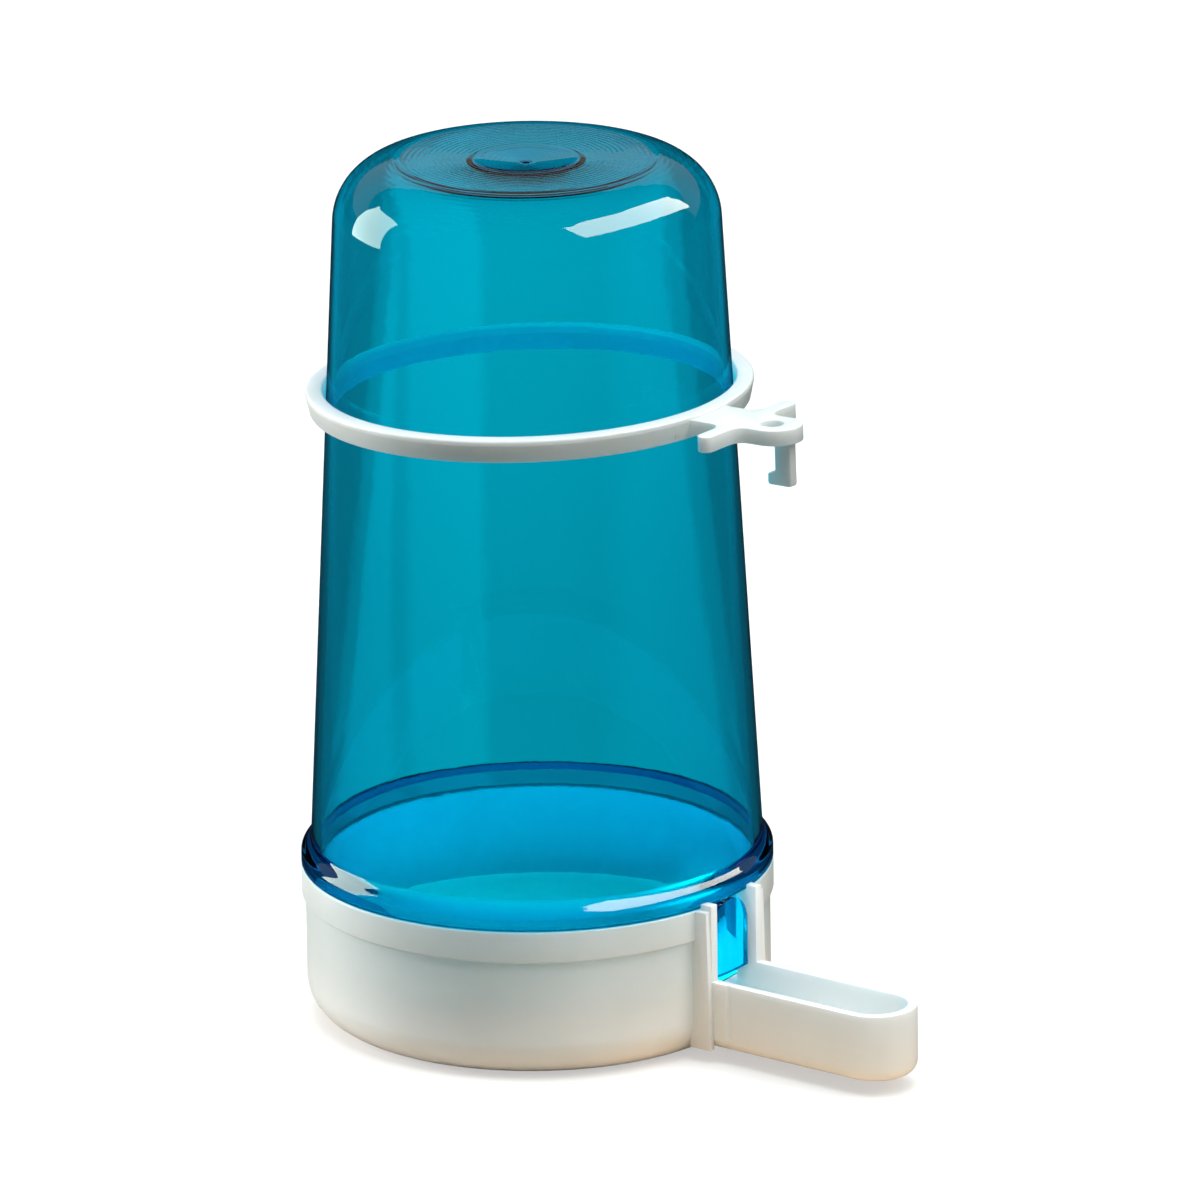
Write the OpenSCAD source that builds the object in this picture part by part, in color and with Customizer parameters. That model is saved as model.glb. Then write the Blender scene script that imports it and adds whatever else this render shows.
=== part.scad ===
// Siphon drinker for cage birds: a transparent bottle upside down in a tray with a drinking trough,
// and a loose ring with a cage hook that slides down the tapered bottle until it wedges.
// Millimetres. Origin at the middle of the tray's underside, +Z up, trough and hook towards -Y.

/* [Base tray] */
// Outer radius of the tray's upper band, and of the bottle flange above it
base_r = 52; // [46:0.5:60]
// Height of the tray up to its rim
base_h = 34.7; // [28:0.1:45]
// Wall thickness of the tray below its band
base_wall = 1.6; // [1.2:0.1:2.2]
// Thickness of the tray's floor
base_floor = 2; // [1.5:0.1:3]
// Height of the thicker upper band
band_h = 6.8; // [4:0.1:12]
// How far the band stands proud of the wall below it
band_step = 0.8; // [0.4:0.1:1.2]
// Outer radius of the rounded bottom edge
base_round = 9; // [5:0.5:12]

/* [Drinking trough] */
// Distance from the tray's axis to the tip of the trough
trough_reach = 100.7; // [85:0.1:115]
// Outer width of the trough
trough_w = 18.4; // [15:0.1:24]
// Height of the trough's rim above the tray's underside
trough_top = 18.6; // [16:0.1:24]
// Height of the trough's underside above the tray's underside
trough_lift = 3.1; // [2:0.1:6]
// Wall and floor thickness of the trough
trough_wall = 2.1; // [1.4:0.1:2.6]
// Rounding of the trough's lower edges
trough_round = 3; // [2.7:0.1:4]
// How far the fins beside the slot stand out from the band
fin_out = 2.4; // [1.5:0.1:4]
// How far the fins rise above the tray's rim, beside the flange
fin_rise = 1.3; // [0.5:0.1:3]
// Thickness of the gusset on the outside of each fin
gusset_t = 1.3; // [0.8:0.1:2.5]
// How far each gusset stands out from the band at its foot
gusset_out = 2.8; // [2:0.1:6]
// How far each gusset stands out from the band at the rim
gusset_top_out = 1.9; // [0.4:0.1:4]
// Radius of the shallow groove on each side of the trough
groove_r = 1; // [0.6:0.1:1.5]
// Depth of that groove
groove_depth = 0.35; // [0.2:0.05:0.6]

/* [Bottle] */
// Height of the bottle above the tray's rim
bottle_h = 159.5; // [120:0.5:200]
// Wall thickness of the bottle
bottle_wall = 1.7; // [1.3:0.1:2.2]
// Loss of radius for each millimetre of height
bottle_taper = 0.0533; // [0.02:0.0001:0.07]
// Radius of the rounded shoulder
shoulder_r = 13.9; // [8:0.1:18]
// How far the flange stands out from the bottle's wall
flange_lip = 2.3; // [1.5:0.1:3.5]
// Height over which the wall flares out into the flange
flange_h = 7; // [5:0.1:10]
// Height of the flange's upright edge
flange_edge = 2; // [1:0.1:3]
// How far the skirt's edge, inside the tray, lies below the trough's rim
skirt_dip = 4.1; // [3:0.1:6]
// Gap between the skirt and the tray's wall
skirt_clear = 0.35; // [0.25:0.05:0.6]
// How far the edge of the key in the slot lies below the trough's rim
key_dip = 0.6; // [0:0.1:2]
// Gap between the key and each side of the slot
key_clear = 0.35; // [0.25:0.05:0.6]
// Wall thickness of the hollow key
key_wall = 1.4; // [1:0.1:2]
// Radius of the shallow gate recess in the top
gate_r = 11.2; // [6:0.1:16]
// Depth of the gate recess
gate_depth = 0.9; // [0.4:0.1:1.4]
// Thickness of the plastic under the gate recess
gate_pad = 2.7; // [1.7:0.1:3.5]
// Radius of the moulding sprue's stub in the recess
sprue_r = 1; // [0.6:0.1:2]
// Height of the ridge round the flat top
top_ridge = 0.25; // [0.1:0.05:0.5]

/* [Hanger ring] */
// Height of the ring's middle above the tray's rim
ring_up = 106.8; // [60:0.1:130]
// Height of the ring's section
ring_h = 5.2; // [4:0.1:8]
// Width of the ring's flat top
ring_w = 3.6; // [2.6:0.1:5]
// Loss of outer radius from the ring's top to its bottom
ring_draft = 0.9; // [0.3:0.1:1.2]
// Gap between the ring and the bottle's wall
ring_clear = 0.3; // [0.2:0.05:0.6]
// Bevel that leads the ring over the bottle
ring_lead = 0.6; // [0.3:0.1:0.9]
// Lean of the wedged ring, hook side up, in degrees
ring_lean = 1.7; // [0:0.1:3]

/* [Hook] */
// Thickness of the hook's plate
hook_t = 3.4; // [2.4:0.1:4]
// Height of the ring's top above the plate's top
hook_drop = 0.8; // [0:0.1:1.2]
// Width of the neck between the ring and the arms
neck_w = 13; // [9:0.5:16]
// Distance from the ring's outside to the middle of the arms
arm_out = 9.8; // [8:0.1:14]
// Span of the two arms that bear on the cage wires
arm_span = 33; // [28:0.5:46]
// Width of an arm
arm_w = 3.6; // [2.6:0.1:4.6]
// Distance from the arms to the middle of the rounded nose
nose_out = 7.8; // [6.5:0.1:12]
// Radius of the rounded nose
nose_r = 5.8; // [5:0.1:7]
// Radius of the hole through the nose
hole_r = 2.5; // [1.8:0.1:2.8]
// Distance from the hole's middle back to the nose's middle
hole_back = 1; // [0:0.1:2]
// Rounding of the plate's inner corners
hook_fillet = 3.2; // [1.5:0.1:4]
// Height of the tongue below the plate
tongue_h = 10; // [7:0.1:14]
// Thickness of the tongue across the hook
tongue_t = 2.4; // [1.8:0.1:3.2]
// Depth of the tongue along the hook
tongue_d = 4.2; // [3:0.1:5]
// Distance from the nose's tip back to the tongue
tongue_inset = 1.5; // [1:0.1:3]
// How far the catch at the tongue's foot stands out towards the ring
catch_out = 2; // [1:0.1:3]
// Height of the catch
catch_h = 3.2; // [2:0.1:4]

/* [Hidden] */
$fn = 96;
eps = 0.01;

// Tray
wall_r = base_r - band_step;
tray_ir = wall_r - base_wall;
edge_round = 0.4;
// Trough, measured along -Y; the fins and gussets root inside the tray's wall
trough_hw = trough_w / 2;
slot_hw = trough_hw - trough_wall;
trough_c = trough_reach - trough_hw;
fin_y = base_r + fin_out;
fin_root = tray_ir - 4;
gusset_y = base_r + gusset_out;
gusset_top_y = base_r + gusset_top_out;
groove_y = gusset_y + 4;
groove_end = trough_lift + trough_round;
// Bottle
rim_z = base_h;
bottle_r = base_r - flange_lip;
flare_z = rim_z + flange_h;
top_z = rim_z + bottle_h;
skirt_z = trough_top - skirt_dip;
skirt_or = tray_ir - skirt_clear;
taper_len = sqrt(1 + bottle_taper * bottle_taper);
taper_deg = atan(bottle_taper);
shoulder_z = top_z - shoulder_r;
shoulder_x = wall_at(shoulder_z) - shoulder_r * taper_len;
mouth_ir = wall_at(flare_z) - bottle_wall * taper_len;
// Key: roots in the skirt, its arched top runs a little into the flange
key_z = trough_top - key_dip;
key_lap = 0.4;
key_top = rim_z + key_lap;
key_hw = slot_hw - key_clear;
key_c = key_top - key_hw;
key_inset = 0.1;
key_r = base_r - key_inset;
key_root = (skirt_or + mouth_ir) / 2;
// Top: the shoulder ends short of level in a low ridge; the recess has a sprue stub in a dimple
shoulder_end = 85;
ridge_slope = 0.2;
ridge_w = 0.7;
ridge_r = shoulder_x + shoulder_r * cos(shoulder_end) - ridge_slope;
gate_slope = 0.5;
gate_z = top_z - gate_depth;
pad_r = gate_r + bottle_wall;
pad_slope = 1;
sprue_draft = 0.2;
sprue_z = top_z - 0.1;
dimple_r = sprue_r + 2;
dimple_slope = 0.8;
dimple_depth = 0.3;
// Ring
ring_z = rim_z + ring_up;
ring_half = ring_h / 2;
ring_mid_r = wall_at(ring_z);
lean_sin = sin(ring_lean);
lean_room = ring_half * lean_sin + ring_mid_r * (bottle_taper * lean_sin + 1 - cos(ring_lean));
bore_gap = ring_clear + lean_room;
ring_lead_h = 1.5;
ring_round = 1.2;
ring_edge = 0.5;
ring_ir = wall_at(ring_z + ring_half) + bore_gap + ring_lead;
ring_or = ring_ir + ring_w;
// Hook, measured outwards from the axis in the ring's own plane
arm_y = ring_or + arm_out;
nose_y = arm_y + nose_out;
hole_y = nose_y - hole_back;
tongue_y = nose_y + nose_r - tongue_inset;
tongue_round = 0.7;
hook_sink = 1.5;
hook_top = ring_half - hook_drop;

// Outer radius of the bottle's wall at a height
function wall_at(z) = bottle_r - bottle_taper * (z - flare_z);

// Points on an arc about a centre
function arc(c, r, from, to, steps = 10) =
    [for (i = [0:steps]) c + r * [cos(from + (to - from) * i / steps), sin(from + (to - from) * i / steps)]];

// Half section of the tray, from the axis outwards
module tray_section() {
    inner_round = base_round - base_wall;
    polygon(concat(
        [[0, 0]],
        arc([wall_r - base_round, base_round], base_round, -90, 0),
        [[wall_r, base_h - band_h - band_step / 2], [base_r, base_h - band_h]],
        arc([base_r - edge_round, base_h - edge_round], edge_round, 0, 90, 4),
        [[tray_ir, base_h]],
        arc([tray_ir - inner_round, base_floor + inner_round], inner_round, 0, -90),
        [[0, base_floor]]
    ));
}

// Half section of the trough: outer or inner outline
module trough_half(hw, low, radius) {
    polygon(concat(
        [[0, low]],
        arc([hw - radius, low + radius], radius, -90, 0, 6),
        [[hw, trough_top], [0, trough_top]]
    ));
}

// A trough-shaped bar from the tray's axis to a round end
module trough_bar(hw, low, radius) {
    rotate([90, 0, 0])
        linear_extrude(trough_c)
            union() {
                trough_half(hw, low, radius);
                mirror([1, 0]) trough_half(hw, low, radius);
            }
    translate([0, -trough_c, 0])
        rotate([0, 0, 180])
            rotate_extrude(angle = 180)
                trough_half(hw, low, radius);
}

// Fin beside the slot on the +X side, in line with the trough's wall
module fin() {
    translate([slot_hw, -fin_y, trough_top - trough_wall])
        cube([trough_wall, fin_y - fin_root, rim_z + fin_rise - trough_top + trough_wall]);
}

// Gusset on the outside of the fin, leaning out a little from the rim to its foot
module gusset() {
    translate([trough_hw - eps, 0, 0])
        rotate([90, 0, 90])
            linear_extrude(gusset_t)
                polygon([
                    [-fin_root, trough_lift], [-gusset_y, trough_lift],
                    [-gusset_top_y, rim_z], [-fin_root, rim_z]
                ]);
}

// Shallow upright groove on the trough's side
module groove() {
    translate([trough_hw + groove_r - groove_depth, -groove_y, groove_end])
        cylinder(r = groove_r, h = trough_top, $fn = 32);
}

// All that stands out from the tray's wall
module outside() {
    difference() {
        union() {
            trough_bar(trough_hw, trough_lift, trough_round);
            fin();
            mirror([1, 0, 0]) fin();
            gusset();
            mirror([1, 0, 0]) gusset();
        }
        // Room for the tray's inside, and for the flange above its rim
        translate([0, 0, -eps]) cylinder(r = tray_ir + base_wall / 2, h = rim_z + eps);
        translate([0, 0, rim_z]) cylinder(r = base_r + skirt_clear, h = 2 * fin_rise);
    }
}

module base_tray() {
    color("white")
        difference() {
            union() {
                rotate_extrude() tray_section();
                outside();
            }
            // Channel through the wall, open up to the rim
            trough_bar(slot_hw, trough_lift + trough_wall, trough_round - trough_wall);
            translate([-slot_hw, -2 * fin_y, trough_top - eps])
                cube([2 * slot_hw, 2 * fin_y, base_h]);
            groove();
            mirror([1, 0, 0]) groove();
        }
}

// Half section of the bottle, from the mouth up the outside and back down the inside
module bottle_section() {
    flare = 8;
    flare_h = flange_h - flange_edge;
    polygon(concat(
        [[mouth_ir, skirt_z], [skirt_or, skirt_z], [skirt_or, rim_z]],
        arc([base_r - edge_round, rim_z + edge_round], edge_round, -90, 0, 3),
        [for (i = [0:flare]) let (z = rim_z + flange_edge + flare_h * i / flare, s = (1 + cos(180 * i / flare)) / 2)
            [wall_at(flare_z) + flange_lip * s, z]],
        arc([shoulder_x, shoulder_z], shoulder_r, taper_deg, shoulder_end, 14),
        [[ridge_r, top_z + top_ridge], [ridge_r - ridge_w, top_z + top_ridge]],
        [[ridge_r - ridge_w - ridge_slope, top_z]],
        [[gate_r, top_z], [gate_r - gate_slope, gate_z]],
        [[dimple_r, gate_z], [dimple_r - dimple_slope, gate_z - dimple_depth], [sprue_r, gate_z - dimple_depth]],
        [[sprue_r - sprue_draft, sprue_z], [0, sprue_z]],
        [[0, gate_z - gate_pad], [pad_r - pad_slope, gate_z - gate_pad], [pad_r, top_z - bottle_wall]],
        arc([shoulder_x, shoulder_z], shoulder_r - bottle_wall, 90, taper_deg, 14),
        [[mouth_ir, flare_z]]
    ));
}

// Bar with an arched top, from the axis along -Y
module arch_bar(hw, foot) {
    rotate([90, 0, 0])
        linear_extrude(base_r)
            union() {
                translate([0, key_c]) circle(r = hw);
                translate([-hw, foot]) square([2 * hw, key_c - foot]);
            }
}

// Outside of the key, which fills the slot from the flange down to the trough's rim
module key() {
    intersection() {
        difference() {
            cylinder(r = key_r, h = key_top, $fn = 128);
            translate([0, 0, -eps]) cylinder(r = key_root, h = key_top + 2 * eps, $fn = 128);
        }
        arch_bar(key_hw, key_z);
    }
}

// Hollow of the key, open downwards through the skirt's edge
module key_hollow() {
    intersection() {
        cylinder(r = key_r - key_wall, h = key_top, $fn = 128);
        arch_bar(key_hw - key_wall, skirt_z - eps);
    }
}

module reservoir() {
    color("deepskyblue", 0.5)
        difference() {
            union() {
                rotate_extrude($fn = 128) bottle_section();
                key();
            }
            key_hollow();
        }
}

// Half section of the ring about its own middle
module ring_section() {
    bore_low = wall_at(ring_z - ring_half) + bore_gap;
    bore_lead = wall_at(ring_z + ring_half - ring_lead_h) + bore_gap;
    low_r = ring_or - ring_draft;
    polygon(concat(
        [[bore_low, -ring_half], [low_r - ring_edge, -ring_half], [low_r, ring_edge - ring_half]],
        arc([ring_or - ring_round, ring_half - ring_round], ring_round, 0, 90, 5),
        [[ring_ir, ring_half], [bore_lead, ring_half - ring_lead_h]]
    ));
}

// Plan of the hook: neck, two arms and nose, with rounded inner corners
module hook_plan() {
    offset(r = -hook_fillet, $fn = 32)
        offset(delta = hook_fillet) {
            circle(r = ring_or - ring_round);
            translate([-neck_w / 2, -arm_y]) square([neck_w, arm_out + hook_sink]);
            hull() {
                for (side = [-1, 1])
                    translate([side * (arm_span - arm_w) / 2, -arm_y]) circle(d = arm_w, $fn = 24);
            }
            translate([-nose_r, -nose_y]) square([2 * nose_r, nose_out]);
            translate([0, -nose_y]) circle(r = nose_r, $fn = 48);
        }
}

// Side view of the tongue with its catch, X outwards from the axis, down from the plate's top
module tongue_side() {
    low = -hook_t - tongue_h;
    inner = tongue_y - tongue_d;
    catch_in = inner - catch_out;
    polygon(concat(
        [[tongue_y, -hook_t / 2]],
        arc([tongue_y - tongue_round, low + tongue_round], tongue_round, 0, -90, 4),
        arc([catch_in + tongue_round, low + tongue_round], tongue_round, -90, -180, 4),
        [[catch_in, low + catch_h - tongue_round], [inner, low + catch_h], [inner, -hook_t / 2]]
    ));
}

module hook() {
    difference() {
        translate([0, 0, hook_top - hook_t]) linear_extrude(hook_t) hook_plan();
        cylinder(r = ring_or - hook_sink, h = 4 * ring_h, center = true);
        translate([0, -hole_y, hook_top - hook_t / 2]) cylinder(r = hole_r, h = 2 * hook_t, center = true, $fn = 48);
    }
    difference() {
        translate([tongue_t / 2, 0, hook_top])
            rotate([90, 0, -90])
                linear_extrude(tongue_t)
                    tongue_side();
        // The hole's bore stays clear through the plate
        translate([0, -hole_y, hook_top - hook_t / 2]) cylinder(r = hole_r, h = hook_t, center = true, $fn = 48);
    }
}

module hanger_ring() {
    color("white")
        translate([0, 0, ring_z])
            rotate([-ring_lean, 0, 0])
                union() {
                    rotate_extrude() ring_section();
                    hook();
                }
}

base_tray();
reservoir();
hanger_ring();
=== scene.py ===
import math

import bmesh
import bpy
from mathutils import Matrix, Vector


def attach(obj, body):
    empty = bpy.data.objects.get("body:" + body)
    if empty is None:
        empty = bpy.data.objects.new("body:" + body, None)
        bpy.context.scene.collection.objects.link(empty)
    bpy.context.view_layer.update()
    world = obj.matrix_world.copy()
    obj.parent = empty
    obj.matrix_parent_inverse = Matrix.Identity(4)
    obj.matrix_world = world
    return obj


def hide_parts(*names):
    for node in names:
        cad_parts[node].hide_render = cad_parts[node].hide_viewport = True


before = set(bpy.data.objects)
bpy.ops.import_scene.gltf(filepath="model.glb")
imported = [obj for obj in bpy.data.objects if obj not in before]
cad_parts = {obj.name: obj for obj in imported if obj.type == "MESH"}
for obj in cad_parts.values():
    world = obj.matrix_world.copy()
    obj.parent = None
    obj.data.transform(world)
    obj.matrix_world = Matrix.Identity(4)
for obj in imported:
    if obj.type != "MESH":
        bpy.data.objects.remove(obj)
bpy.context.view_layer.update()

scene = bpy.context.scene
MM = 0.001
# Faces round a turned form, and the bends in degrees from which an edge is sharp or can be rounded
TURN, SHARP, BEND = 256, 38, 50

# Sizes of the object in millimetres, as in the CAD source
BASE_R, RIM_Z, BASE_WALL, FLOOR_T = 52.0, 34.7, 1.6, 2.0
BAND_H, BAND_STEP, BASE_ROUND = 6.8, 0.8, 9.0
WALL_R = BASE_R - BAND_STEP
TRAY_IR = WALL_R - BASE_WALL
TROUGH_REACH, TROUGH_HW, TROUGH_TOP, TROUGH_LIFT = 100.7, 9.2, 18.6, 3.1
TROUGH_WALL, TROUGH_ROUND = 2.1, 3.0
SLOT_HW = TROUGH_HW - TROUGH_WALL
TROUGH_C = TROUGH_REACH - TROUGH_HW
FIN_Y, FIN_RISE, FIN_ROOT = BASE_R + 2.4, 1.3, TRAY_IR - 4
GUSSET_T, GUSSET_Y, GUSSET_TOP_Y = 1.3, BASE_R + 2.8, BASE_R + 1.9
GROOVE_R, GROOVE_DEPTH, GROOVE_Y = 1.0, 0.35, GUSSET_Y + 4
FLARE_Z, BOTTLE_R, TAPER, WALL = RIM_Z + 7.0, BASE_R - 2.3, 0.0533, 1.7
TAPER_LEN, TAPER_DEG = math.sqrt(1 + TAPER * TAPER), math.degrees(math.atan(TAPER))
TOP_Z, SHOULDER, GATE_R = RIM_Z + 159.5, 13.9, 11.2
SKIRT_CLEAR, KEY_CLEAR = 0.35, 0.35
SKIRT_Z, SKIRT_OR = TROUGH_TOP - 4.1, TRAY_IR - SKIRT_CLEAR
KEY_Z, KEY_HW = TROUGH_TOP - 0.6, SLOT_HW - KEY_CLEAR
RING_Z, RING_HALF, LEAN = RIM_Z + 106.8, 2.6, math.radians(1.7)
RING_W, RING_DRAFT, RING_ROUND, RING_CLEAR = 3.6, 0.9, 1.2, 0.3
RING_LEAD, RING_LEAD_H = 0.6, 1.5
HOOK_TOP, HOOK_T, HOOK_FILLET, HOOK_SINK = RING_HALF - 0.8, 3.4, 3.2, 1.5
HOOK_UNDER = HOOK_TOP - HOOK_T
NECK, ARM_X, ARM_W, NOSE_R, HOLE_R = 6.5, 16.5, 3.6, 5.8, 2.5
TONGUE_D, TONGUE_T, TONGUE_H, TONGUE_ROUND = 4.2, 2.4, 10.0, 0.7
CATCH_OUT, CATCH_H = 2.0, 3.2

# The scene's own finer forms: a key that fills the slot, a proud disc and a shallow gate cone in the top
KEY_R, KEY_CROWN, SEAT_GAP = BASE_R + 0.8, RIM_Z + 0.2, 0.05
DISC_R, DISC_STEP, DISC_EDGE, FLARE_H = 29.2, 0.12, 1.8, 4.7
GATE_DEPTH, SPRUE_R, SPRUE_H = 1.3, 1.6, 0.35
PAD_T, PAD_EDGE, FLAT = 2.3, 2.0, 0.2
EDGE_SOFT, PLATE_SOFT, TONGUE_SOFT, ARM_ROUND = 0.3, 0.45, 0.35, 1.75
# Where the trough and its channel start inside the tray, before it is cut free
TROUGH_BACK, CHANNEL_BACK = 30, 20


def wall_at(z):
    """Outer radius of the bottle's wall at a height."""
    return BOTTLE_R - TAPER * (z - FLARE_Z)


MOUTH = wall_at(FLARE_Z) - WALL * TAPER_LEN
# Room for the leaning ring round the tapered wall, and what is measured outwards from the ring;
# gap and radius are rounded to a thousandth
LEAN_ROOM = RING_HALF * math.sin(LEAN)
LEAN_ROOM += wall_at(RING_Z) * (TAPER * math.sin(LEAN) + 1 - math.cos(LEAN))
RING_GAP = round(RING_CLEAR + LEAN_ROOM, 3)
RING_IR = round(wall_at(RING_Z + RING_HALF) + RING_GAP + RING_LEAD, 3)
RING_OR = RING_IR + RING_W
ARM_Y = RING_OR + 9.8
NOSE_Y = ARM_Y + 7.8
HOLE_Y = NOSE_Y - 1
TONGUE_Y = NOSE_Y + NOSE_R - 1.5


# Outlines
def arc(cx, cy, r, a0, a1, steps):
    """Points on an arc, in degrees."""
    turn = [math.radians(a0 + (a1 - a0) * i / steps) for i in range(steps + 1)]
    return [(cx + r * math.cos(a), cy + r * math.sin(a)) for a in turn]


def circle(cx, cy, r, steps):
    """Points once round a circle."""
    turn = [2 * math.pi * k / steps for k in range(steps)]
    return [(cx + r * math.cos(a), cy + r * math.sin(a)) for a in turn]


def between(start, end, steps):
    """Points on a line, without its ends."""
    (x0, y0), (x1, y1) = start, end
    return [(x0 + (x1 - x0) * i / steps, y0 + (y1 - y0) * i / steps) for i in range(1, steps)]


def slope(start, end, steps):
    """Points from start to end, level at both."""
    (r0, z0), (r1, z1) = start, end
    ease = [(1 - math.cos(math.pi * i / steps)) / 2 for i in range(steps + 1)]
    return [(r0 + (r1 - r0) * i / steps, z0 + (z1 - z0) * t) for i, t in enumerate(ease)]


def rounded(points, steps=5):
    """A polyline with its corners rounded: each point is (x, y) or (x, y, radius)."""
    out = []
    for i, p in enumerate(points):
        r = p[2] if len(p) > 2 else 0
        if not r or i in (0, len(points) - 1):
            out.append((p[0], p[1]))
            continue
        here = Vector(p[:2])
        a, b = (Vector(points[i - 1][:2]) - here), (Vector(points[i + 1][:2]) - here)
        half = a.angle(b) / 2
        cut = min(r / math.tan(half), 0.49 * a.length, 0.49 * b.length)
        r = cut * math.tan(half)
        centre = here + (a.normalized() + b.normalized()).normalized() * (r / math.sin(half))
        s, e = here + a.normalized() * cut - centre, here + b.normalized() * cut - centre
        sweep = s.angle_signed(e)
        for k in range(steps + 1):
            turn = -sweep * k / steps
            c, n = math.cos(turn), math.sin(turn)
            out.append((centre.x + c * s.x - n * s.y, centre.y + n * s.x + c * s.y))
    return out


# Solids
def finish_mesh(name, bm):
    """A mesh object with outward faces and sharp edges only where the faces really turn."""
    bmesh.ops.remove_doubles(bm, verts=bm.verts, dist=1e-7)
    bmesh.ops.recalc_face_normals(bm, faces=bm.faces)
    for f in bm.faces:
        f.smooth = True
    for e in bm.edges:
        e.smooth = len(e.link_faces) == 2 and e.calc_face_angle(0) < math.radians(SHARP)
    me = bpy.data.meshes.new(name)
    bm.to_mesh(me)
    bm.free()
    ob = bpy.data.objects.new(name, me)
    scene.collection.objects.link(ob)
    return ob


def remade(ob, bm):
    """The object again, with the changed mesh."""
    name, old = ob.name, ob.data
    ob.name = "old"
    new = finish_mesh(name, bm)
    bpy.data.objects.remove(ob)
    bpy.data.meshes.remove(old)
    return new


def lathe(name, profile, closed=False):
    """A solid turned about Z from (radius, height) points; closed profiles make a ring."""
    bm = bmesh.new()
    rows = []
    for r, z in profile:
        if r < 1e-6:
            rows.append([bm.verts.new((0, 0, z * MM))])
        else:
            rows.append([bm.verts.new((x, y, z * MM)) for x, y in circle(0, 0, r * MM, TURN)])
    pairs = list(zip(rows, rows[1:])) + ([(rows[-1], rows[0])] if closed else [])
    for lo, hi in pairs:
        for k in range(TURN):
            n = (k + 1) % TURN
            if len(lo) == 1:
                bm.faces.new((lo[0], hi[n], hi[k]))
            elif len(hi) == 1:
                bm.faces.new((lo[k], lo[n], hi[0]))
            else:
                bm.faces.new((lo[k], lo[n], hi[n], hi[k]))
    return finish_mesh(name, bm)


def drum(name, r, low, high):
    """A plain turned cutter."""
    return lathe(name, [(0, low), (r, low), (r, high), (0, high)])


def loft(name, rings):
    """A closed solid through rings of 3D points of equal count, capped at both ends."""
    bm = bmesh.new()
    rows = [[bm.verts.new(Vector(p) * MM) for p in ring] for ring in rings]
    n = len(rows[0])
    for lo, hi in zip(rows, rows[1:]):
        for k in range(n):
            bm.faces.new((lo[k], lo[(k + 1) % n], hi[(k + 1) % n], hi[k]))
    bm.faces.new(rows[0])
    bm.faces.new(rows[-1])
    return finish_mesh(name, bm)


def prism(name, outline, low, high):
    """A solid with the same plan at both heights."""
    return loft(name, [[(x, y, z) for x, y in outline] for z in (low, high)])


def block(name, lo, hi):
    """A box between two corners."""
    (x0, y0, z0), (x1, y1, z1) = lo, hi
    return prism(name, [(x0, y0), (x1, y0), (x1, y1), (x0, y1)], z0, z1)


def boolean(a, b, kind):
    """a joined with, or cut by, b; b is used up."""
    m = a.modifiers.new("cut", "BOOLEAN")
    m.operation, m.solver, m.object = kind, "EXACT", b
    dg = bpy.context.evaluated_depsgraph_get()
    me = bpy.data.meshes.new_from_object(a.evaluated_get(dg))
    a.modifiers.clear()
    old, a.data = a.data, me
    bpy.data.meshes.remove(old)
    bpy.data.objects.remove(b)
    return a


def middle(edge):
    """Middle of an edge, in millimetres."""
    return (edge.verts[0].co + edge.verts[1].co) / (2 * MM)


def soften(ob, width, chosen, segments=2):
    """Rounds the chosen outer edges of a solid."""
    bm = bmesh.new()
    bm.from_mesh(ob.data)
    bmesh.ops.remove_doubles(bm, verts=bm.verts, dist=2e-6)
    bmesh.ops.dissolve_degenerate(bm, dist=1e-6, edges=bm.edges)
    picked = [
        e for e in bm.edges
        if len(e.link_faces) == 2 and e.calc_face_angle_signed(0) > math.radians(BEND) and chosen(e)
    ]
    bmesh.ops.bevel(
        bm, geom=picked, offset=width * MM, offset_type="OFFSET", segments=segments, profile=0.5,
        affect="EDGES", clamp_overlap=True,
    )
    return remade(ob, bm)


# Bottle: one turned shell, and a key in the tray's slot
def gate_cone(top):
    """The gate recess at one level, a shallow cone from the sprue to its edge."""
    radii = [SPRUE_R + (GATE_R - SPRUE_R) * i / 8 for i in range(9)]
    return [(r, top - GATE_DEPTH * (1 - r / GATE_R)) for r in radii]


def flare(steps=24):
    """The wall's smooth sweep out into the flange."""
    out = []
    for i in range(steps + 1):
        t = i / steps
        ease = t * t * t * (10 - 15 * t + 6 * t * t)
        out.append((wall_at(FLARE_Z) + (BASE_R - BOTTLE_R) * ease, FLARE_Z - FLARE_H * t))
    return out


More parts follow.
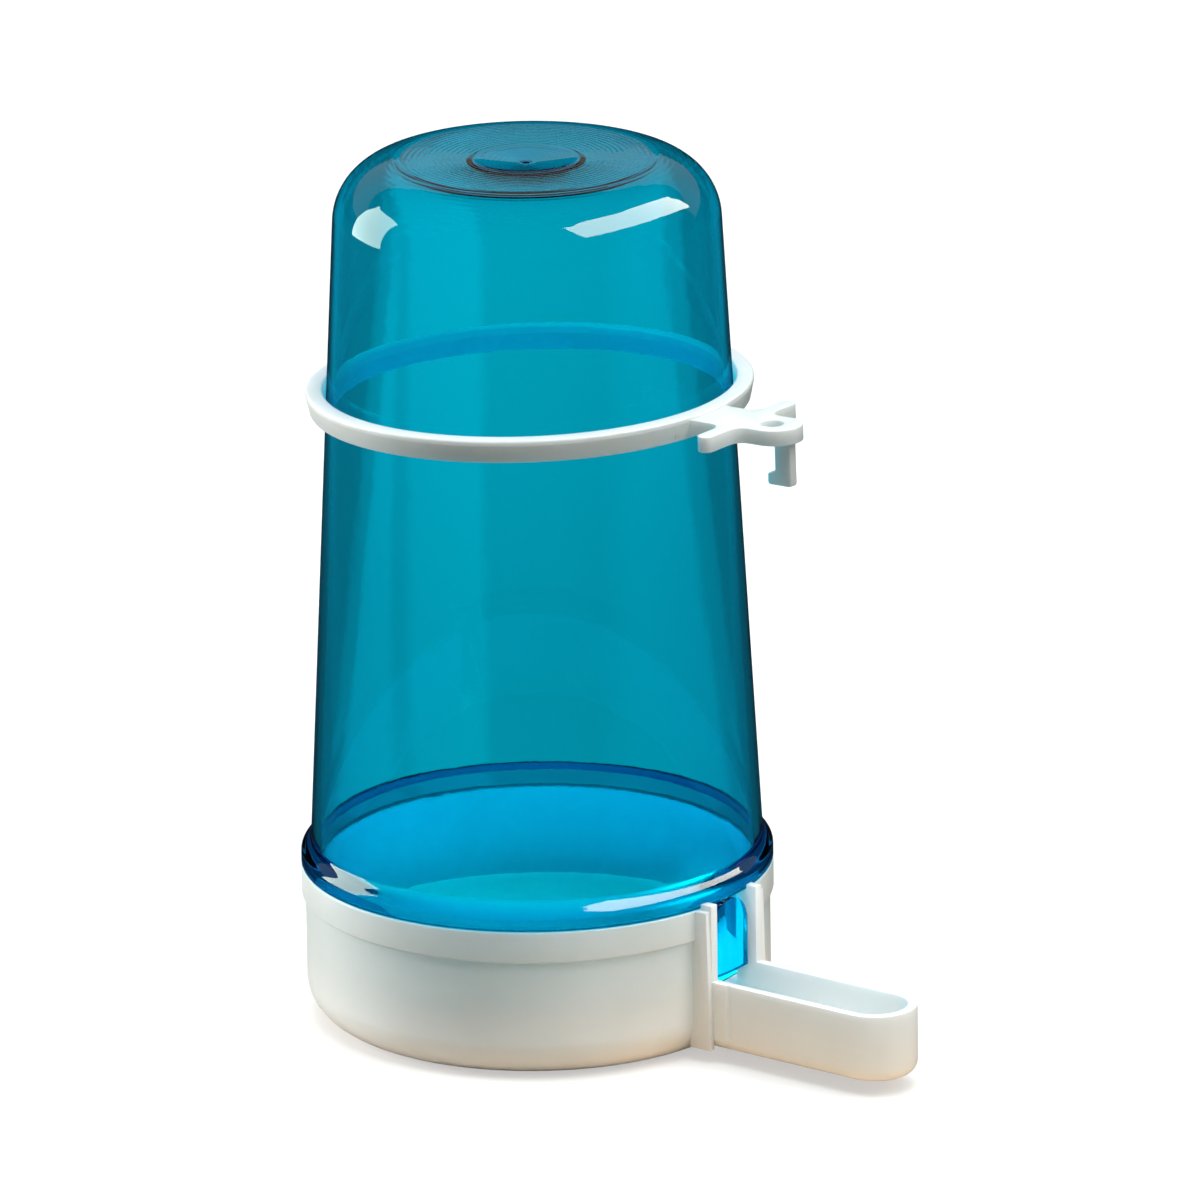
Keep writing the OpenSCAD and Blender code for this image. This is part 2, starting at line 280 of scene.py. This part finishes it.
def bottle_section():
    """Half section of the shell, outside from the top to the skirt, then back up the inside."""
    disc_z = TOP_Z + DISC_STEP / 2
    shoulder_z = TOP_Z - DISC_STEP / 2 - SHOULDER
    shoulder_x = wall_at(shoulder_z) - SHOULDER * TAPER_LEN
    # Sprue bump, gate recess and a disc a little proud of the shoulder
    gate = gate_cone(disc_z)
    start = math.degrees(math.acos((DISC_R - shoulder_x) / SHOULDER))
    shoulder = arc(shoulder_x, shoulder_z, SHOULDER, start, TAPER_DEG, 44)
    outside = slope((0, gate[0][1] + SPRUE_H), gate[0], 6)[:-1] + gate
    outside += [(GATE_R + FLAT, disc_z), (DISC_R - DISC_EDGE - FLAT, disc_z)]
    outside += slope((DISC_R - DISC_EDGE, disc_z), shoulder[0], 8)[:-1] + shoulder
    outside += between(shoulder[-1], (wall_at(FLARE_Z), FLARE_Z), 24) + flare()
    seat = RIM_Z + SEAT_GAP
    outside += rounded([
        (BASE_R, FLARE_Z - FLARE_H), (BASE_R, seat, 0.4), (SKIRT_OR, seat, 0.15),
        (SKIRT_OR, SKIRT_Z, 0.35), (MOUTH, SKIRT_Z, 0.35), (MOUTH, FLARE_Z),
    ])[1:]
    # The inside follows the wall, the shoulder and the gate recess
    inner_r = SHOULDER - WALL
    ceiling = arc(shoulder_x, shoulder_z, inner_r, TAPER_DEG, 90, 32)
    pad_z = disc_z - PAD_T
    inside = between((MOUTH, FLARE_Z), ceiling[0], 24) + ceiling
    inside += slope((GATE_R + PAD_EDGE, shoulder_z + inner_r), (GATE_R + FLAT, pad_z), 8)
    return outside + inside + gate_cone(pad_z)[::-1] + [(0, pad_z - GATE_DEPTH)]


def make_bottle():
    shell = lathe("bottle_shell", bottle_section())
    # Key with an arched top and a round face
    arch = arc(0, KEY_CROWN - KEY_HW, KEY_HW, 0, 180, 40)
    outline = [(KEY_HW, KEY_Z)] + arch + [(-KEY_HW, KEY_Z)]
    key = loft("key", [[(x, y, z) for x, z in outline] for y in (-MOUTH - 0.5, -BASE_R - 2)])
    key = boolean(key, drum("face", KEY_R, 0, RIM_Z + 9), "INTERSECT")
    shell = boolean(shell, key, "UNION")

    def key_edge(e):
        mid = middle(e)
        beside = abs(mid.x) < KEY_HW + 0.2 and KEY_Z - 0.1 < mid.z < RIM_Z - 0.2
        return beside and mid.y < -SKIRT_OR - 0.5

    return soften(shell, EDGE_SOFT, key_edge)


# Tray, trough, fins and gussets, joined into one moulding
def plan(hw, back):
    """Plan of the trough at one half width: straight sides and a round tip, open end at y = -back."""
    return [(hw, -back)] + [(x, -TROUGH_C + y) for x, y in arc(0, 0, hw, 0, -180, 40)] + [(-hw, -back)]


def trough_solid(name, hw, low, radius, top, back):
    """The trough's outside, or its channel, with rounded lower edges."""
    side = arc(hw - radius, low + radius, radius, -90, 0, 8) + [(hw, top)]
    return loft(name, [[(x, y, z) for x, y in plan(r, back)] for r, z in side])


def tray_section():
    """Half section of the tray."""
    inner = BASE_ROUND - BASE_WALL
    section = [(0, 0)] + arc(WALL_R - BASE_ROUND, BASE_ROUND, BASE_ROUND, -90, 0, 16)
    section += rounded([
        (WALL_R, BASE_ROUND), (WALL_R, RIM_Z - BAND_H - BAND_STEP / 2, 0.3),
        (BASE_R, RIM_Z - BAND_H, 0.35), (BASE_R, RIM_Z, 0.45),
        (TRAY_IR, RIM_Z, 0.35), (TRAY_IR, FLOOR_T + inner),
    ])[1:]
    return section + arc(TRAY_IR - inner, FLOOR_T + inner, inner, 0, -90, 14)[1:] + [(0, FLOOR_T)]


def make_outside():
    """All that stands out from the tray's wall."""
    outside = trough_solid("trough", TROUGH_HW, TROUGH_LIFT, TROUGH_ROUND, TROUGH_TOP, TROUGH_BACK)
    for s in (1, -1):
        x = sorted((s * SLOT_HW, s * TROUGH_HW))
        low, high = TROUGH_TOP - TROUGH_WALL, RIM_Z + FIN_RISE
        fin = block("fin", (x[0], -FIN_Y, low), (x[1], -FIN_ROOT, high))
        outside = boolean(outside, fin, "UNION")
        x = sorted((s * (TROUGH_HW - 0.01), s * (TROUGH_HW + GUSSET_T)))
        side = [
            (-FIN_ROOT, TROUGH_LIFT), (-GUSSET_Y, TROUGH_LIFT), (-GUSSET_TOP_Y, RIM_Z), (-FIN_ROOT, RIM_Z),
        ]
        gusset = loft("gusset", [[(v, y, z) for y, z in side] for v in x])
        outside = boolean(outside, gusset, "UNION")
    # Room for the tray's inside, and for the flange above its rim
    outside = boolean(outside, drum("room", TRAY_IR + BASE_WALL / 2, -1, RIM_Z), "DIFFERENCE")
    return boolean(outside, drum("above", BASE_R + SKIRT_CLEAR, RIM_Z, RIM_Z + 4), "DIFFERENCE")


def make_base():
    base = lathe("base_shell", tray_section())
    base = boolean(base, make_outside(), "UNION")
    # Channel through the wall, open up to the rim
    floor, radius = TROUGH_LIFT + TROUGH_WALL, TROUGH_ROUND - TROUGH_WALL
    channel = trough_solid("channel", SLOT_HW, floor, radius, TROUGH_TOP + 3, CHANNEL_BACK)
    base = boolean(base, channel, "DIFFERENCE")
    slot = block("slot", (-SLOT_HW, -2 * FIN_Y, TROUGH_TOP + 1), (SLOT_HW, -CHANNEL_BACK, RIM_Z + 9))
    base = boolean(base, slot, "DIFFERENCE")
    for s in (1, -1):
        ring = circle(s * (TROUGH_HW + GROOVE_R - GROOVE_DEPTH), -GROOVE_Y, GROOVE_R, 32)
        groove = prism("groove", ring, TROUGH_LIFT + TROUGH_ROUND, TROUGH_TOP + 2)
        base = boolean(base, groove, "DIFFERENCE")

    def outer_edge(e):
        mid = middle(e)
        return mid.y < -(TRAY_IR - 1) and abs(mid.x) < TROUGH_HW + 2 and mid.z > TROUGH_LIFT + 1

    return soften(base, EDGE_SOFT, outer_edge)


# Ring and hook, joined into one moulding and leaned with the hook's side up
def ring_section():
    """Section of the ring: its outside leans in downwards, and a bevel leads it over the bottle."""
    low = wall_at(RING_Z - RING_HALF) + RING_GAP
    lead = wall_at(RING_Z + RING_HALF - RING_LEAD_H) + RING_GAP
    start = (low + 0.5, -RING_HALF)
    return rounded([
        start, (RING_OR - RING_DRAFT, -RING_HALF, 0.6), (RING_OR, RING_HALF - RING_ROUND, 0.2),
        (RING_OR, RING_HALF, RING_ROUND), (RING_IR, RING_HALF, 0.35),
        (lead, RING_HALF - RING_LEAD_H, 0.4), (low, -RING_HALF, 0.4), start,
    ])[:-1]


def plate_outline():
    """Plan of the hook's plate: neck, two arms and a round nose."""
    back, near = RING_OR - HOOK_SINK, math.sqrt((RING_OR - RING_ROUND) ** 2 - NECK ** 2)
    arm = (ARM_Y - ARM_W / 2, ARM_Y + ARM_W / 2)
    half = rounded([
        (0, back), (NECK + 4, back), (NECK + 4, near - 0.5), (NECK, near, HOOK_FILLET),
        (NECK, arm[0], HOOK_FILLET), (ARM_X, arm[0], ARM_ROUND), (ARM_X, arm[1], ARM_ROUND),
        (NOSE_R, arm[1], HOOK_FILLET), (NOSE_R, NOSE_Y),
    ], 8)
    half += arc(0, NOSE_Y, NOSE_R, 0, 90, 20)[1:]
    return [(x, -y) for x, y in half] + [(-x, -y) for x, y in half[-2:0:-1]]


def tongue_side():
    """Side of the tongue, with the catch at its foot."""
    top, foot, inner = HOOK_TOP - HOOK_T / 2, HOOK_UNDER - TONGUE_H, TONGUE_Y - TONGUE_D
    return rounded([
        (TONGUE_Y, top), (TONGUE_Y, foot, TONGUE_ROUND), (inner - CATCH_OUT, foot, TONGUE_ROUND),
        (inner - CATCH_OUT, foot + CATCH_H - TONGUE_ROUND, 0.5), (inner, foot + CATCH_H, 0.6), (inner, top),
    ])


def make_ring():
    ring = lathe("ring_shell", ring_section(), closed=True)
    hole = circle(0, -HOLE_Y, HOLE_R, 48)
    plate = prism("plate", plate_outline(), HOOK_UNDER, HOOK_TOP)
    plate = boolean(plate, prism("hole", hole, -9, 9), "DIFFERENCE")

    def flat_rim(e):
        level = abs(e.verts[0].co.z - e.verts[1].co.z) < 1e-6
        return level and middle(e).y < -(RING_OR - 1.0)

    def below_plate(e):
        return middle(e).z < HOOK_UNDER - 0.5

    plate = soften(plate, PLATE_SOFT, flat_rim, 3)
    tongue = loft("tongue", [[(x, -y, z) for y, z in tongue_side()] for x in (-TONGUE_T / 2, TONGUE_T / 2)])
    tongue = soften(tongue, TONGUE_SOFT, below_plate, 3)
    tongue = boolean(tongue, prism("bore", hole, HOOK_UNDER, 9), "DIFFERENCE")
    ring = boolean(ring, plate, "UNION")
    ring = boolean(ring, tongue, "UNION")
    bm = bmesh.new()
    bm.from_mesh(ring.data)
    seat = Matrix.Translation((0, 0, RING_Z * MM)) @ Matrix.Rotation(-LEAN, 4, "X")
    bmesh.ops.transform(bm, verts=bm.verts, matrix=seat)
    return remade(ring, bm)


# Short ways to add shader nodes
def tree_of(name):
    mat = bpy.data.materials.new(name)
    mat.use_nodes = True
    nodes = mat.node_tree.nodes
    return mat, nodes, mat.node_tree.links, nodes["Principled BSDF"]


def fill(node, **values):
    """Sets a node's inputs; an underscore stands for a space."""
    for name, value in values.items():
        node.inputs[name.replace("_", " ")].default_value = value
    return node


def shade(nodes, kind, colour, strength=None):
    """A shader node with its colour and strength."""
    node = fill(nodes.new(kind), Color=(*colour, 1))
    return node if strength is None else fill(node, Strength=strength)


def span(nodes, links, value, start, end, low=0.0, high=1.0):
    """A value from start to end, mapped to low to high."""
    node = fill(nodes.new("ShaderNodeMapRange"), From_Min=start, From_Max=end, To_Min=low, To_Max=high)
    links.new(value, node.inputs["Value"])
    return node.outputs["Result"]


def calc(nodes, links, kind, *values):
    """A sum of numbers and other nodes' outputs."""
    node = nodes.new("ShaderNodeMath")
    node.operation = kind
    for socket, value in zip(node.inputs, values):
        if isinstance(value, float):
            socket.default_value = value
        else:
            links.new(value, socket)
    return node.outputs["Value"]


def calc_vector(nodes, links, kind, place, other, result="Vector"):
    """A sum of a place with a fixed vector or with another place."""
    node = nodes.new("ShaderNodeVectorMath")
    node.operation = kind
    links.new(place, node.inputs[0])
    if isinstance(other, bpy.types.NodeSocket):
        links.new(other, node.inputs[1])
    else:
        node.inputs[1].default_value = other
    return node.outputs[result]


def ramp(nodes, links, value, stops, kind="EASE"):
    """Colours over a value from 0 to 1."""
    node = nodes.new("ShaderNodeValToRGB")
    node.color_ramp.interpolation = kind
    ends = node.color_ramp.elements[0], node.color_ramp.elements[1]
    for element, (place, colour) in zip(ends, (stops[0], stops[-1])):
        element.position, element.color = place, (*colour, 1)
    for place, colour in stops[1:-1]:
        node.color_ramp.elements.new(place).color = (*colour, 1)
    links.new(value, node.inputs["Fac"])
    return node.outputs["Color"]


def choose(nodes, links, path, ray, other, chosen):
    """A shader that shows chosen to one kind of ray and other to the rest."""
    mix = nodes.new("ShaderNodeMixShader")
    links.new(path.outputs[ray], mix.inputs[0])
    links.new(other.outputs[0], mix.inputs[1])
    links.new(chosen.outputs[0], mix.inputs[2])
    return mix


# Materials of the part
def white_plastic():
    mat, nodes, links, bsdf = tree_of("white_plastic")
    place = nodes.new("ShaderNodeTexCoord").outputs["Object"]
    # Faint clouds in colour and gloss
    cloud = fill(nodes.new("ShaderNodeTexNoise"), Scale=45, Detail=3)
    links.new(place, cloud.inputs["Vector"])
    cloud = cloud.outputs["Fac"]
    tint = ramp(nodes, links, cloud, [(0.3, (0.80, 0.81, 0.79)), (0.7, (0.86, 0.87, 0.855))], "LINEAR")
    links.new(tint, bsdf.inputs["Base Color"])
    links.new(span(nodes, links, cloud, 0, 1, 0.27, 0.38), bsdf.inputs["Roughness"])
    # Fine grain
    grain = fill(nodes.new("ShaderNodeTexNoise"), Scale=900)
    links.new(place, grain.inputs["Vector"])
    bump = fill(nodes.new("ShaderNodeBump"), Strength=0.06, Distance=0.0002)
    links.new(grain.outputs["Fac"], bump.inputs["Height"])
    links.new(bump.outputs["Normal"], bsdf.inputs["Normal"])
    fill(bsdf, IOR=1.49, Subsurface_Weight=0.4, Subsurface_Radius=(1.0, 0.9, 0.8), Subsurface_Scale=0.004)
    return mat


def blue_plastic():
    mat, nodes, links, bsdf = tree_of("blue_plastic")
    output = nodes["Material Output"]
    place = nodes.new("ShaderNodeTexCoord").outputs["Object"]
    # Flow lines along the bottle and turning marks round it
    stretch = fill(nodes.new("ShaderNodeMapping"), Scale=(60, 60, 6))
    links.new(place, stretch.inputs["Vector"])
    flow = fill(nodes.new("ShaderNodeTexNoise"), Scale=1, Detail=2)
    links.new(stretch.outputs["Vector"], flow.inputs["Vector"])
    marks = fill(nodes.new("ShaderNodeTexWave"), Scale=260, Distortion=1.5, Detail=2)
    marks.wave_type, marks.rings_direction = "RINGS", "Z"
    links.new(place, marks.inputs["Vector"])
    turned = fill(nodes.new("ShaderNodeBump"), Strength=1, Distance=0.000006)
    links.new(marks.outputs["Fac"], turned.inputs["Height"])
    bump = fill(nodes.new("ShaderNodeBump"), Strength=0.05, Distance=0.001)
    links.new(turned.outputs["Normal"], bump.inputs["Normal"])
    links.new(flow.outputs["Fac"], bump.inputs["Height"])
    links.new(bump.outputs["Normal"], bsdf.inputs["Normal"])
    # Polished all over, but matt under the flange where it sits on the tray
    polish = span(nodes, links, flow.outputs["Fac"], 0, 1, 0.012, 0.03)
    split = nodes.new("ShaderNodeSeparateXYZ")
    links.new(place, split.inputs["Vector"])
    under = calc(nodes, links, "COMPARE", split.outputs["Z"], (RIM_Z + SEAT_GAP) * MM, 0.12 * MM)
    links.new(calc(nodes, links, "MULTIPLY_ADD", under, 0.5, polish), bsdf.inputs["Roughness"])
    fill(bsdf, Base_Color=(1, 1, 1, 1), IOR=1.49, Transmission_Weight=1)
    # Lamps shine through, and the dye is in the plastic's depth
    path = nodes.new("ShaderNodeLightPath")
    clear = shade(nodes, "ShaderNodeBsdfTransparent", (0.86, 0.86, 0.86))
    look = choose(nodes, links, path, "Is Shadow Ray", bsdf, clear)
    links.new(look.outputs["Shader"], output.inputs["Surface"])
    dye = fill(shade(nodes, "ShaderNodeVolumeAbsorption", (0.0, 0.9545, 0.9785)), Density=4000)
    links.new(dye.outputs["Volume"], output.inputs["Volume"])
    return mat


white, blue = white_plastic(), blue_plastic()
for piece, node, body, mat, slot in (
    (make_base(), "base_tray", "base", white, "white_plastic"),
    (make_bottle(), "reservoir", "bottle", blue, "blue_plastic"),
    (make_ring(), "hanger_ring", "ring", white, "white_plastic"),
):
    piece.data.materials.append(mat)
    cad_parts[node].data.materials.clear()
    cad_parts[node].data.materials.append(mat)
    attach(piece, body)
    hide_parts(node)
    piece.visible_glossy = mat is blue

# Camera at the photograph's angle, in metres
EYE, AIM = Vector((-2.0402, -1.5678, 0.9092)), Vector((0.0094, -0.0112, 0.0933))
ROLL, SENSOR, FOCAL = math.radians(-0.844), 36, 370
forward = (AIM - EYE).normalized()
right = forward.cross(Vector((0, 0, 1))).normalized()
up = right.cross(forward)
c, s = math.cos(ROLL), math.sin(ROLL)
right, up = right * c + up * s, up * c - right * s
lens = bpy.data.cameras.new("camera")
lens.sensor_width, lens.lens = SENSOR, FOCAL
lens.clip_start, lens.clip_end = 0.05, 60
camera = bpy.data.objects.new("camera", lens)
camera.matrix_world = Matrix.Translation(EYE) @ Matrix((right, up, -forward)).transposed().to_4x4()
scene.collection.objects.link(camera)
scene.camera = camera

# Stage: a plain pale floor, a pale surround, and soft lights, in metres and watts
FLOOR_R, CARD_REACH = 9, 1.6
CARD_CENTRE, LIGHT_CENTRE = Vector((0, 0, 0.12)), Vector((0, 0, 0.08))
CLEAR_TINT = (0.66, 0.58, 0.575)
# Painted light and shade on the floor behind the bottle, from left to right: place, brightness
EDGES = (
    (-0.30, 1.0), (-0.20, 0.45), (-0.076, 0.45), (-0.071, 0.66), (-0.0628, 0.72), (-0.0605, 1.0),
    (0.0545, 1.0), (0.0575, 0.78), (0.072, 0.74), (0.077, 0.5), (0.20, 0.45), (0.30, 1.0),
)
# More painted light and shade behind the bottle, in strips that widen with depth: place, brightness
PAINTED_STRIPES = (
    (-0.30, 1.17), (-0.0314, 1.17), (-0.0304, 0.97), (-0.0282, 0.97), (-0.0272, 1.16),
    (-0.0114, 1.17), (-0.0104, 0.97), (0.012, 0.93), (0.02, 1.04), (0.30, 1.06),
)
# How the strips widen with depth, and the brightness that they fade to on the camera's side
FAN, LEVEL = 1.5, 1.06
# The warm bounce from the floor, from the part outwards, and the end of the line below the trough
BOUNCE = ((0.0, (1.0, 0.70, 0.48)), (0.375, (0.74, 0.56, 0.43)), (1.0, (0.10, 0.11, 0.11)))
TROUGH_END = (0, -0.09, 0)


def direction(azimuth, elevation):
    """A direction as the camera sees it: azimuth 0 is straight away from it, 90 to its right."""
    a, e = math.radians(azimuth), math.radians(elevation)
    away = Vector((forward.x, forward.y, 0)).normalized()
    side = Vector((away.y, -away.x, 0))
    return (away * math.cos(a) + side * math.sin(a)) * math.cos(e) + Vector((0, 0, math.sin(e)))


def stage_piece(name, bm, mat):
    """A mesh of the stage."""
    me = bpy.data.meshes.new(name)
    bm.to_mesh(me)
    bm.free()
    me.materials.append(mat)
    ob = bpy.data.objects.new(name, me)
    scene.collection.objects.link(ob)
    return ob


def card_light(name, colour, strength):
    """Light that isn't seen through the clear plastic."""
    mat, nodes, links, bsdf = tree_of(name)
    nodes.remove(bsdf)
    light = shade(nodes, "ShaderNodeEmission", colour)
    ray = nodes.new("ShaderNodeLightPath").outputs["Is Transmission Ray"]
    links.new(span(nodes, links, ray, 0, 1, strength, 0), light.inputs["Strength"])
    links.new(light.outputs["Emission"], nodes["Material Output"].inputs["Surface"])
    return mat


def card(name, corners, colour, strength):
    """A pane that only reflections show, in these directions as seen from the bottle."""
    bm = bmesh.new()
    points = [direction(a, e) for a, e in corners]
    mean = sum(points, Vector()).normalized()
    bm.faces.new([bm.verts.new(CARD_CENTRE + p * (CARD_REACH / p.dot(mean))) for p in points])
    ob = stage_piece(name, bm, card_light(name, colour, strength))
    ob.visible_camera = ob.visible_shadow = ob.visible_diffuse = ob.visible_transmission = False


def lamp(name, kind, place, colour, power):
    """A light that is out of sight, also in reflections and through the bottle."""
    light = bpy.data.lights.new(name, kind)
    light.color, light.energy = colour, power
    ob = bpy.data.objects.new(name, light)
    ob.location = place
    ob.visible_camera = ob.visible_glossy = ob.visible_transmission = False
    scene.collection.objects.link(ob)
    return ob


def box(ob, size):
    """Makes a lamp a rectangle."""
    ob.data.shape, ob.data.size, ob.data.size_y = "RECTANGLE", *size
    return ob


def area(name, towards, reach, size, colour, power):
    """A soft box in a direction from the part."""
    ob = box(lamp(name, "AREA", LIGHT_CENTRE + direction(*towards) * reach, colour, power), size)
    ob.rotation_euler = (-direction(*towards)).to_track_quat("-Z", "Y").to_euler()


def spot(name, place, aim, angle, size, colour, power):
    """A small soft lamp that lights one side of the part's inside."""
    ob = lamp(name, "SPOT", place, colour, power)
    ob.data.spot_size, ob.data.spot_blend, ob.data.shadow_soft_size = math.radians(angle), 1, size
    ob.rotation_euler = (Vector(aim) - Vector(place)).to_track_quat("-Z", "Y").to_euler()
    return ob


def backdrop_grade(nodes, links, place):
    """Painted light and dark strips on the floor behind the bottle, in place of the cards and flags that give
    clear plastic its light and dark edges.
    """
    def grade(value, table):
        start, end = table[0][0], table[-1][0]
        stops = [((v - start) / (end - start), (k, k, k)) for v, k in table]
        return ramp(nodes, links, span(nodes, links, value, start, end), stops, "LINEAR")

    def times(a, b):
        return calc(nodes, links, "MULTIPLY", a, b)

    deep, across = (
        calc_vector(nodes, links, "DOT_PRODUCT", place, direction(turn, 0), "Value") for turn in (0, 90)
    )
    fan = calc(nodes, links, "ADD", times(calc(nodes, links, "MAXIMUM", deep, 0.0), FAN), 1.0)
    edges, stripes = grade(across, EDGES), grade(calc(nodes, links, "DIVIDE", across, fan), PAINTED_STRIPES)
    strips = times(times(edges, stripes), span(nodes, links, deep, 0.28, 0.60, 1.0, 1.25))
    # They fade out towards the camera's side of the bottle
    fade = span(nodes, links, deep, -0.25, 0.02)
    return calc(nodes, links, "ADD", times(calc(nodes, links, "SUBTRACT", strips, LEVEL), fade), LEVEL)


def floor_look():
    """Pale to the camera, a warm bounce near the tray, dark in reflections, cream through the bottle."""
    mat, nodes, links, bsdf = tree_of("floor")
    nodes.remove(bsdf)
    path = nodes.new("ShaderNodeLightPath")
    place = nodes.new("ShaderNodeTexCoord").outputs["Object"]
    plain = shade(nodes, "ShaderNodeBsdfDiffuse", (0.95, 0.95, 0.94))
    look = nodes.new("ShaderNodeMixShader")
    look.inputs[0].default_value = 0.5
    links.new(plain.outputs[0], look.inputs[1])
    links.new(shade(nodes, "ShaderNodeEmission", (1.0, 0.995, 0.985), 1.0).outputs[0], look.inputs[2])
    # Distance from the line between the tray's middle and the trough
    near = calc_vector(nodes, links, "MINIMUM", place, (0, 0, 0))
    near = calc_vector(nodes, links, "MAXIMUM", near, TROUGH_END)
    away = calc_vector(nodes, links, "DISTANCE", place, near, "Value")
    bounce = nodes.new("ShaderNodeBsdfDiffuse")
    warm = ramp(nodes, links, span(nodes, links, away, 0.012, 0.10), BOUNCE)
    links.new(warm, bounce.inputs["Color"])
    dark = shade(nodes, "ShaderNodeBsdfDiffuse", (0.005, 0.005, 0.005))
    graded = shade(nodes, "ShaderNodeEmission", CLEAR_TINT)
    links.new(backdrop_grade(nodes, links, place), graded.inputs["Strength"])
    for ray, chosen in (("Is Diffuse Ray", bounce), ("Is Glossy Ray", dark), ("Is Transmission Ray", graded)):
        look = choose(nodes, links, path, ray, look, chosen)
    links.new(look.outputs[0], nodes["Material Output"].inputs["Surface"])
    return mat


def make_surround():
    """The world: pale to the camera, nearly dark in reflections, cream through the bottle."""
    scene.world = bpy.data.worlds.new("surround")
    scene.world.use_nodes = True
    nodes, links = scene.world.node_tree.nodes, scene.world.node_tree.links
    path = nodes.new("ShaderNodeLightPath")
    look = shade(nodes, "ShaderNodeBackground", (0.72, 0.94, 1.0), 0.15)
    for ray, colour, strength in (
        ("Is Glossy Ray", (0.9, 0.95, 1.0), 0.005),
        ("Is Transmission Ray", CLEAR_TINT, 0.85),
        ("Is Camera Ray", (0.97, 0.97, 0.96), 1.0),
    ):
        look = choose(nodes, links, path, ray, look, shade(nodes, "ShaderNodeBackground", colour, strength))
    links.new(look.outputs[0], nodes["World Output"].inputs["Surface"])


bm = bmesh.new()
bmesh.ops.create_circle(bm, cap_ends=True, segments=96, radius=FLOOR_R)
stage_piece("floor", bm, floor_look())
make_surround()

# Windows and backdrop in the reflections, and soft boxes
card("window_left", [(-57, 33), (-86, 33), (-86, -9), (-57, -9)], colour=(0.80, 1.0, 0.88), strength=8.3)
card("window_right", [(148, 60), (49, 38), (56, 20), (140, 39)], colour=(1.0, 0.96, 0.82), strength=10.5)
card("backdrop", [(-60, 22), (60, 22), (60, 9), (-60, 9)], colour=(1.0, 0.97, 0.92), strength=0.28)
area("sky", (128, 82), reach=2.2, size=(2.0, 2.0), colour=(0.95, 1.0, 1.0), power=70)
area("left", (-68, 11), reach=1.6, size=(0.9, 0.75), colour=(1.0, 0.99, 0.95), power=32)
area("right", (115, 40), reach=1.6, size=(1.0, 0.6), colour=(1.0, 0.96, 0.92), power=6.5)

# The tray's inside, the ring's far side and the trough are lit more than the rest in the photograph
tray_lamp = lamp("tray_lamp", "AREA", (0, 0, 0.012), colour=(0.88, 0.85, 1.0), power=0.108)
tray_lamp.data.shape, tray_lamp.data.size = "DISK", 0.04
tray_lamp.rotation_euler = (math.pi, 0, 0)
slot_lamp = spot(
    "slot_lamp", (0.02, -0.018, 0.024), aim=(0.047, -0.017, 0.008), angle=60, size=0.008,
    colour=(0.9, 0.97, 0.95), power=0.12,
)
bottle_lamp = lamp("bottle_lamp", "POINT", (0, 0, 0.112), colour=(0.85, 0.95, 0.95), power=0.16)
bottle_lamp.data.shadow_soft_size = 0.015
box(lamp("trough_box", "AREA", (0, -0.078, 0.04), colour=(1.0, 0.98, 0.97), power=0.0034), (0.014, 0.042))
# The lamps in the bottle go up with it, so that the open tray isn't lit too much
for ob in (tray_lamp, slot_lamp, bottle_lamp):
    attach(ob, "bottle")

scene.view_settings.view_transform = "Standard"
scene.cycles.use_denoising = True

bpy.context.view_layer.update()
